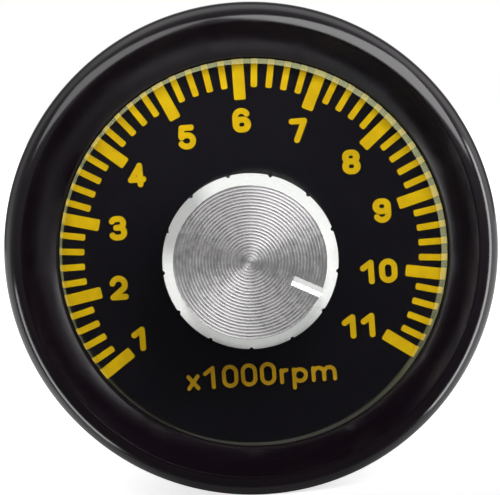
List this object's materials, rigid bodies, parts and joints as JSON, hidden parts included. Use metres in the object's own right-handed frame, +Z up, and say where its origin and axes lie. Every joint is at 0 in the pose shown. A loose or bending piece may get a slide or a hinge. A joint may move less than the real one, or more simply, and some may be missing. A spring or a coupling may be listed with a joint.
{
  "type": "engine speed dial instrument",
  "caption": "Round panel instrument with a dished black bezel, a yellow engine speed scale and a turned aluminium setting knob, on a cylindrical case with rear clamp studs.",
  "frame": {"origin": "centre of the bezel's rear seat, in the plane of the panel face", "axes": "+Z up with the 6 of the scale at the top, -Y out of the dial towards the driver, +Y along the case to the rear"},
  "size_m": [0.06, 0.0706, 0.06],
  "materials": {
    "black_bezel_paint": "satin black",
    "black_can_paint": "semi-matt black",
    "clear_acrylic": "polished clear",
    "black_rubber": "matt",
    "black_card": "matt",
    "black_dial_print": "fine matt black",
    "yellow_print": "matt yellow ink",
    "spun_aluminium": "concentric spun face, polished chamfer",
    "blackened_steel": "black oxide",
    "plain_aluminium": "turned",
    "zinc_casting": "cast",
    "zinc_plate": "bright zinc plate",
    "brass_plate": "turned brass",
    "black_moulding": "fine spark texture",
    "spring_bronze": "rolled strip",
    "brown_laminate": "paper laminate",
    "carbon_ink": "matt carbon",
    "tinned_copper": "tinned",
    "white_moulding": "matt white",
    "lamp_resin": "phosphor resin",
    "green_board": "solder mask",
    "chip_resin": "moulded resin",
    "blue_sleeve": "shrunk sleeve",
    "resistor_body": "lacquer",
    "gold_flash": "gold flash"
  },
  "bodies": {
    "case": {"bezel": "black_bezel_paint", "lens": "clear_acrylic", "lens_seal": "black_rubber", "dial_spacer": "black_card", "dial_plate": "black_dial_print", "scale_marks": "yellow_print", "scale_numerals": "yellow_print", "unit_legend": "yellow_print", "can": "black_can_paint", "control_bushing": "zinc_casting", "control_washer": "zinc_plate", "control_nut": "brass_plate", "control_cup": "zinc_plate", "control_wafer": "brown_laminate", "control_track": "carbon_ink", "control_terminals": "tinned_copper", "light_box": "white_moulding", "lamps": "lamp_resin", "light_board": "green_board", "board_screws": "zinc_plate", "front_pillars": "brass_plate", "main_board": "green_board", "processor": "chip_resin", "capacitors": "blue_sleeve", "resistors": "resistor_body", "crystal": "tinned_copper", "link_headers": "black_moulding", "link_pins": "gold_flash", "rear_pillars": "brass_plate", "rear_cover": "black_moulding", "cover_screws": "zinc_plate", "clamp_studs": "zinc_plate", "stud_washers": "zinc_plate", "stud_nuts": "zinc_plate", "socket_shell": "black_moulding", "socket_pins": "gold_flash", "switch_body": "zinc_plate"},
    "knob_assembly": {"knob": "spun_aluminium", "grub_screw": "blackened_steel", "control_shaft": "plain_aluminium", "shaft_clip": "blackened_steel", "control_rotor": "black_moulding", "control_wiper": "spring_bronze"},
    "selector": {"switch_slider": "white_moulding"}
  },
  "joints": [
    {"name": "knob_turn", "type": "hinge", "parent": "case", "child": "knob_assembly", "pos_m": [0, 0, -0.0008], "axis": [0, -1, 0], "range_deg": [-22.5, 257.5]},
    {"name": "selector_slide", "type": "slide", "parent": "case", "child": "selector", "axis": [1, 0, 0], "range_m": [-0.0025, 0.0025]}
  ]
}
